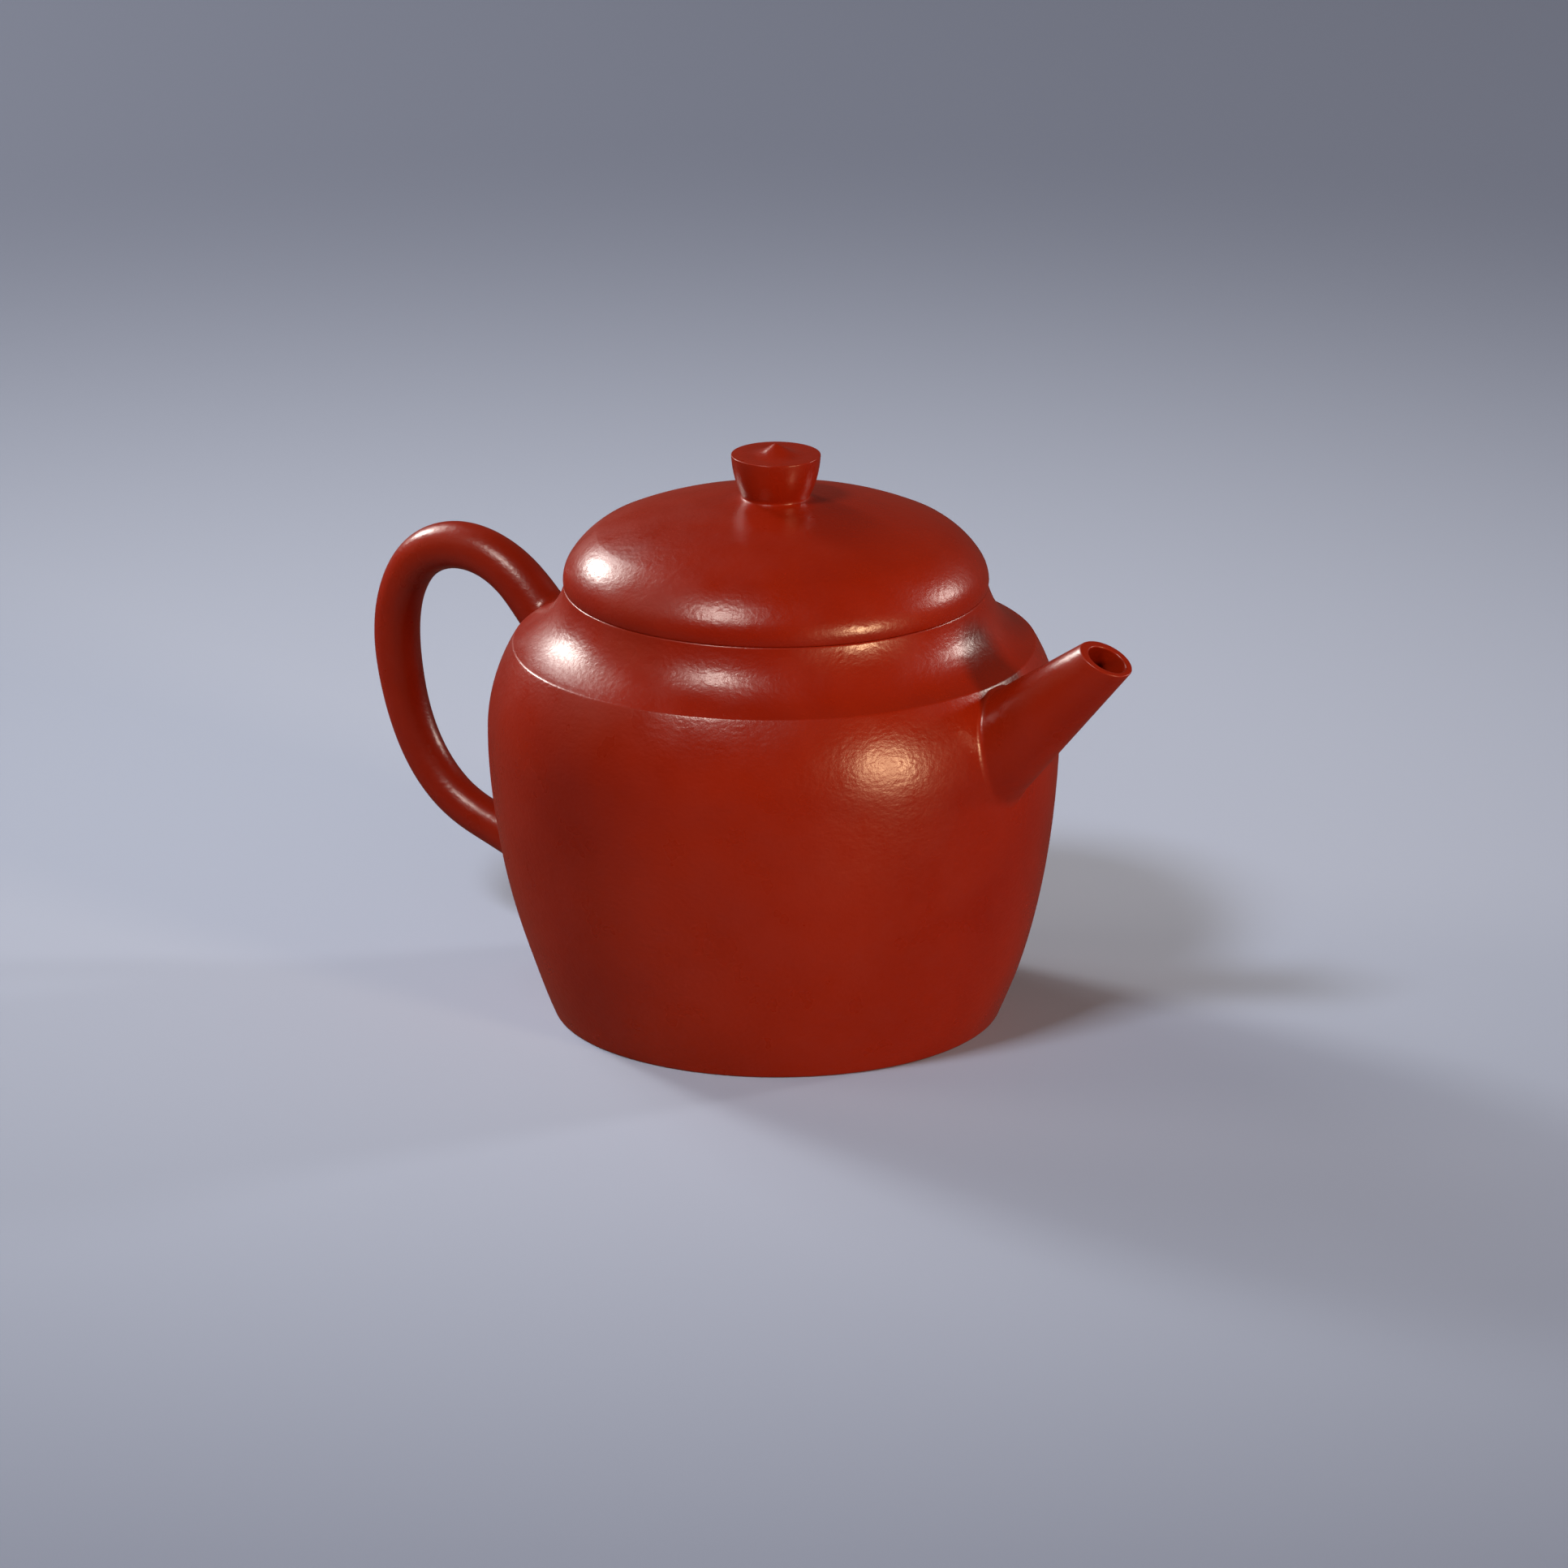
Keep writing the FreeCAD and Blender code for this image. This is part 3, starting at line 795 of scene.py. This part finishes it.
# Base colours in linear light, and the tint of what the clay reflects head on.
CLAY_RED = (0.255, 0.0095, 0.0004)
CLAY_DARK = (0.222, 0.0072, 0.0003)
CLAY_LIGHT = (0.292, 0.0145, 0.0010)
SHEEN_TINT = (1.0, 0.80, 0.62, 1)
CLAY_IOR = 1.5
CLAY_SPECULAR = 0.50

# Sizes of the clay's patterns, as noise scales in cycles per metre.
CLOUDS = 14.0
MOTTLES = 55.0
SHEEN_PATCHES = 120.0
SPECKS = 2600.0

# How much rougher and smoother the patches are than the rest.
ROUGHER = 0.06
SMOOTHER = 0.05

# Relief runs round the pot, so height counts for more than the way round. Its three sizes
# have these scales, as times the grain's, and these shares of the relief's depth.
ROUND_STRETCH = 1.45
BROAD_SCALE = 0.42
FINE_SCALE = 3.1
PEBBLE_SHARE = 0.36
BROAD_SHARE = 0.30
FINE_SHARE = 0.12


def clay(name, roughness, relief, grain):
    """Fired red clay: mottled colour, fine specks, a broken sheen and pebbled relief, whose
    depth is in millimetres and whose grain is a noise scale."""
    material = bpy.data.materials.new(name)
    material.use_nodes = True
    tree = material.node_tree
    shader = tree.nodes["Principled BSDF"]
    shader.inputs["IOR"].default_value = CLAY_IOR
    shader.inputs["Specular IOR Level"].default_value = CLAY_SPECULAR
    shader.inputs["Specular Tint"].default_value = SHEEN_TINT
    place = node(tree, "ShaderNodeTexCoord").outputs["Object"]
    stretch = node(tree, "ShaderNodeMapping")
    stretch.inputs["Scale"].default_value = (1.0, 1.0, ROUND_STRETCH)
    tree.links.new(place, stretch.inputs["Vector"])
    round_place = stretch.outputs["Vector"]

    mottle = noise(tree, place, MOTTLES, 4.0, 0.55, 0.4)
    cloud = noise(tree, place, CLOUDS, 2.0, 0.5)
    speck = noise(tree, place, SPECKS, 1.0, 0.5)
    tint = mix_colour(tree, remap(tree, mottle, 0.35, 0.65, 0.0, 1.0), CLAY_DARK, CLAY_RED)
    tint = mix_colour(tree, remap(tree, cloud, 0.4, 0.7, 0.0, 0.5), tint, CLAY_LIGHT)
    tint = mix_colour(tree, remap(tree, speck, 0.66, 0.74, 0.0, 0.35), tint, CLAY_LIGHT)
    tint = mix_colour(tree, remap(tree, speck, 0.34, 0.27, 0.0, 0.30), tint, CLAY_DARK)
    tree.links.new(tint, shader.inputs["Base Color"])

    patch = noise(tree, place, SHEEN_PATCHES, 3.0, 0.6)
    patchy = remap(tree, patch, 0.3, 0.7, roughness - SMOOTHER, roughness + ROUGHER)
    tree.links.new(patchy, shader.inputs["Roughness"])

    pebble = noise(tree, round_place, grain, 2.0, 0.45, 0.2)
    broad = noise(tree, round_place, grain * BROAD_SCALE, 1.0, 0.5, 0.3)
    fine = noise(tree, place, grain * FINE_SCALE, 2.0, 0.6)
    height = maths(tree, "ADD", maths(tree, "MULTIPLY", pebble, PEBBLE_SHARE),
                   maths(tree, "MULTIPLY", broad, BROAD_SHARE))
    height = maths(tree, "ADD", height, maths(tree, "MULTIPLY", fine, FINE_SHARE))
    bump = node(tree, "ShaderNodeBump")
    bump.inputs["Strength"].default_value = 1.0
    bump.inputs["Distance"].default_value = relief * MM
    tree.links.new(height, bump.inputs["Height"])
    tree.links.new(bump.outputs["Normal"], shader.inputs["Normal"])
    return material


BURNISHED = clay("burnished_clay_skin", roughness=0.30, relief=0.11, grain=1250.0)
PLAIN = clay("plain_clay_skin", roughness=0.62, relief=0.10, grain=1700.0)


def finish_piece(piece, body, nodes, material=BURNISHED):
    piece.data.materials.clear()
    piece.data.materials.append(material)
    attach(piece, body)
    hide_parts(*nodes)


surface = PotSurface()
finish_piece(make_pot_body(), "pot", ["base_disc", "body_wall", "shoulder_disc", "mouth_ring"])
finish_piece(make_spout(surface), "pot", ["spout"])
finish_piece(make_handle(surface), "pot", ["handle"])
finish_piece(make_tongue(), "lid_flange", ["lid_flange"], PLAIN)
finish_piece(make_lid_shell(), "lid", ["lid_seat_plate", "lid_dome"])
finish_piece(make_knob(), "lid", ["knob"])

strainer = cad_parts["ball_strainer"]
strainer.data.materials.clear()
strainer.data.materials.append(PLAIN)

# ---------------------------------------------------------------- the studio

# The camera's direction, its distance in metres and its lens in millimetres. SIDEWAYS and
# INWARD are its right and its ahead, level with the floor.
VIEW_AZIMUTH = math.radians(34.45)
VIEW_RISE = math.radians(18.16)
VIEW_DISTANCE = 1.5
LENS = 228.6
SIDEWAYS = Vector((math.cos(VIEW_AZIMUTH), math.sin(VIEW_AZIMUTH), 0))
INWARD = Vector((-math.sin(VIEW_AZIMUTH), math.cos(VIEW_AZIMUTH), 0))
AIM = SIDEWAYS * 0.00121 + Vector((0, 0, 0.03487))
SENSOR = 36
CLIP_NEAR = 0.1
CLIP_FAR = 30


def make_camera():
    data = bpy.data.cameras.new("camera")
    data.lens = LENS
    data.sensor_width = SENSOR
    data.clip_start = CLIP_NEAR
    data.clip_end = CLIP_FAR
    camera = bpy.data.objects.new("camera", data)
    back = -INWARD * math.cos(VIEW_RISE) + Vector((0, 0, math.sin(VIEW_RISE)))
    camera.location = AIM + back * VIEW_DISTANCE
    camera.rotation_mode = "QUATERNION"
    camera.rotation_quaternion = (-back).to_track_quat("-Z", "Y")
    bpy.context.scene.collection.objects.link(camera)
    bpy.context.scene.camera = camera


# The paper: its flat radius, the bend at its edge and the wall's top, all in metres.
FLOOR_FLAT = 3.2
FLOOR_BEND = 1.6
WALL_TOP = 4.2
FLOOR_RINGS = (0.4, 0.8, 1.4, 2.2, FLOOR_FLAT)
BEND_STEPS = 12
FLOOR_AROUND = 96

# A pool of light is painted into its colour: palest round the pot, with its middle a little
# behind it, and painted darker between these distances from there, as a painted falloff of
# light.
FLOOR_COLOUR = (0.41, 0.425, 0.485)
# Painted shade: the colour the paper is painted towards far from the pot, standing in for
# light falling off.
FLOOR_PAINTED_SHADE = (0.150, 0.158, 0.196)
PAINTED_POOL_BEHIND = 0.08
PAINTED_POOL_FADE = (0.06, 0.45)
FLOOR_ROUGHNESS = 0.7
FLOOR_SPECULAR = 0.2


def paper():
    """Matt paper with a painted pool of light: its colour is painted darker away from the pot.
    """
    material = bpy.data.materials.new("paper")
    material.use_nodes = True
    tree = material.node_tree
    shader = tree.nodes["Principled BSDF"]
    place = node(tree, "ShaderNodeTexCoord").outputs["Object"]
    # Painted light: the colour darkens with distance from a point a little behind the pot.
    away = node(tree, "ShaderNodeVectorMath", operation="DISTANCE")
    away.inputs[1].default_value = INWARD * PAINTED_POOL_BEHIND
    tree.links.new(place, away.inputs[0])
    fade = node(tree, "ShaderNodeMapRange", interpolation_type="SMOOTHSTEP")
    for name, number in zip(("From Min", "From Max", "To Min", "To Max"),
                            (*PAINTED_POOL_FADE, 0.0, 1.0)):
        fade.inputs[name].default_value = number
    tree.links.new(away.outputs["Value"], fade.inputs["Value"])
    tree.links.new(mix_colour(tree, fade.outputs["Result"], FLOOR_COLOUR, FLOOR_PAINTED_SHADE),
                   shader.inputs["Base Color"])
    shader.inputs["Roughness"].default_value = FLOOR_ROUGHNESS
    shader.inputs["Specular IOR Level"].default_value = FLOOR_SPECULAR
    return material


def make_floor():
    """Seamless paper: flat, then curving up into a wall far behind everything."""
    profile = [(radius, 0.0) for radius in FLOOR_RINGS]
    for step in range(1, BEND_STEPS + 1):
        angle = math.pi / 2 * step / BEND_STEPS
        profile.append((FLOOR_FLAT + FLOOR_BEND * math.sin(angle),
                        FLOOR_BEND * (1 - math.cos(angle))))
    profile.append((FLOOR_FLAT + FLOOR_BEND, WALL_TOP))
    around = FLOOR_AROUND
    points = [(0.0, 0.0, 0.0)]
    for radius, height in profile:
        points += [(radius * math.cos(2 * math.pi * k / around),
                    radius * math.sin(2 * math.pi * k / around), height)
                   for k in range(around)]
    faces = [(0, 1 + k, 1 + (k + 1) % around) for k in range(around)]
    faces += [tuple(1 + v for v in face[::-1]) for face in strip_faces(len(profile), around)]
    mesh = bpy.data.meshes.new("floor")
    mesh.from_pydata(points, [], faces)
    for face in mesh.polygons:
        face.use_smooth = True
    mesh.materials.append(paper())
    floor = bpy.data.objects.new("floor", mesh)
    bpy.context.scene.collection.objects.link(floor)

    # Left out of reflections, which would veil the clay.
    floor.visible_glossy = False


# Name; direction from the pot as the camera sees it: to the right, away, up; distance, width
# and height in metres; watts; colour; whether the clay reflects it.
LIGHTS = [
    ("key", -0.66, 0.635, 0.40, 1.5, 0.24, 0.24, 12.0, (0.93, 0.98, 1.0), True),
    ("key_soft", -0.60, 0.62, 0.52, 1.5, 0.66, 0.58, 7.5, (0.95, 0.97, 1.0), True),
    ("edge", -0.93, 0.05, 0.36, 1.7, 0.60, 0.80, 7.0, (1.0, 0.88, 0.80), False),
    ("fill", -0.405, -0.505, 0.763, 1.8, 0.40, 0.27, 22.0, (0.78, 0.86, 1.0), True),
    ("room", -0.35, -0.75, 0.75, 2.4, 2.2, 2.0, 3.0, (1.0, 0.95, 0.90), False),
    ("side", 0.877, 0.327, 0.353, 1.6, 0.19, 0.17, 7.0, (0.95, 0.96, 1.0), True),
    ("warm", 0.71, -0.69, 0.11, 1.5, 0.24, 0.20, 16.0, (1.0, 0.81, 0.58), True),
]
LIT_CENTRE = Vector((0, 0, 0.05))
WORLD_COLOUR = (0.075, 0.052, 0.044, 1)
WORLD_STRENGTH = 1.0


def soft_box(name, side, inward, up, distance, width, height, watts, colour, reflected):
    """Rectangular studio light, aimed at the pot."""
    direction = (SIDEWAYS * side + INWARD * inward + Vector((0, 0, up))).normalized()
    data = bpy.data.lights.new(name, "AREA")
    data.shape = "RECTANGLE"
    data.size = width
    data.size_y = height
    data.energy = watts
    data.color = colour
    light = bpy.data.objects.new(name, data)
    light.location = direction * distance + LIT_CENTRE
    light.rotation_mode = "QUATERNION"
    light.rotation_quaternion = (-direction).to_track_quat("-Z", "Y")
    bpy.context.scene.collection.objects.link(light)
    light.visible_glossy = reflected


def make_light():
    for row in LIGHTS:
        soft_box(*row)
    world = bpy.data.worlds.new("studio")
    world.use_nodes = True
    background = world.node_tree.nodes["Background"]
    background.inputs["Color"].default_value = WORLD_COLOUR
    background.inputs["Strength"].default_value = WORLD_STRENGTH
    bpy.context.scene.world = world
    bpy.context.scene.view_settings.view_transform = "Standard"


make_camera()
make_floor()
make_light()
